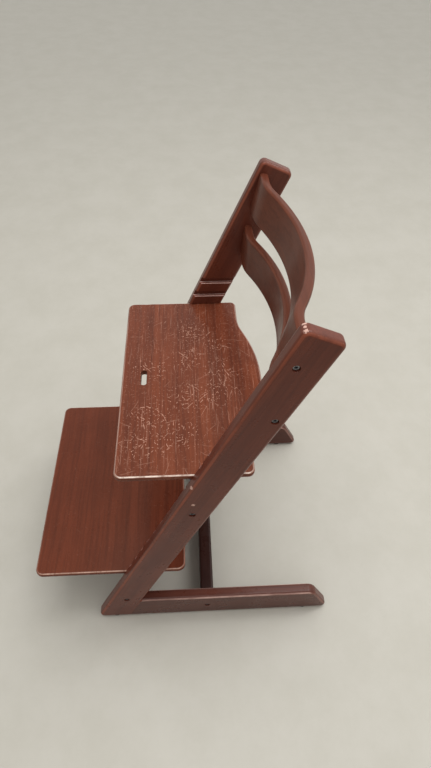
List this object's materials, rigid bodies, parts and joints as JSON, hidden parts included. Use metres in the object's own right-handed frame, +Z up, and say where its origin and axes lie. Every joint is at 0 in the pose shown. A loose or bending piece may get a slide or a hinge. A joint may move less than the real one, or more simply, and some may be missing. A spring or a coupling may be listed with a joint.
{
  "type": "high chair",
  "caption": "Adjustable wooden high chair: two grooved leaning legs on floor runners, sliding seat and footrest, two bent back slats.",
  "frame": {"origin": "on the floor, at the middle of the footprint: the bottom centre of the bounding box", "axes": "+Z up, the chair faces -Y, X across it; +X is the sitter's left"},
  "size_m": [0.47, 0.5898, 0.79],
  "materials": {
    "frame_wood": "dark brown stain, satin lacquer, worn edges",
    "plate_wood": "red-brown stain, satin lacquer, scratched",
    "slat_wood": "red-brown stain, satin lacquer, fine grain",
    "dowel_wood": "bare beech",
    "steel": "zinc plated",
    "glide": "dark nylon"
  },
  "bodies": {
    "frame": {"backrest_bolt_lower_left": "steel", "backrest_bolt_lower_right": "steel", "backrest_bolt_upper_left": "steel", "backrest_bolt_upper_right": "steel", "backrest_nut_lower_left": "steel", "backrest_nut_lower_right": "steel", "backrest_nut_upper_left": "steel", "backrest_nut_upper_right": "steel", "backrest_pin_lower_left": "steel", "backrest_pin_lower_right": "steel", "backrest_pin_upper_left": "steel", "backrest_pin_upper_right": "steel", "backrest_slat_lower": "slat_wood", "backrest_slat_upper": "slat_wood", "cross_rod_lower": "steel", "cross_rod_upper": "steel", "crossbar": "frame_wood", "crossbar_bolt_left": "steel", "crossbar_bolt_right": "steel", "crossbar_dowel_left": "dowel_wood", "crossbar_dowel_right": "dowel_wood", "crossbar_nut_left": "steel", "crossbar_nut_right": "steel", "glide_front_left": "glide", "glide_front_right": "glide", "glide_rear_left": "glide", "glide_rear_right": "glide", "joint_dowel_lower_left": "dowel_wood", "joint_dowel_lower_right": "dowel_wood", "joint_dowel_upper_left": "dowel_wood", "joint_dowel_upper_right": "dowel_wood", "leg_left": "frame_wood", "leg_right": "frame_wood", "rod_bolt_lower_left": "steel", "rod_bolt_lower_right": "steel", "rod_bolt_upper_left": "steel", "rod_bolt_upper_right": "steel", "runner_left": "frame_wood", "runner_right": "frame_wood"},
    "seat": {"seat_plate": "plate_wood"},
    "footrest": {"footplate": "plate_wood"}
  },
  "joints": [
    {"name": "seat_slide", "type": "slide", "parent": "frame", "child": "seat", "axis": [0, 1, 0], "range_m": [-0.012, 0.095]},
    {"name": "footplate_slide", "type": "slide", "parent": "frame", "child": "footrest", "axis": [0, 1, 0], "range_m": [-0.03, 0.14]}
  ]
}
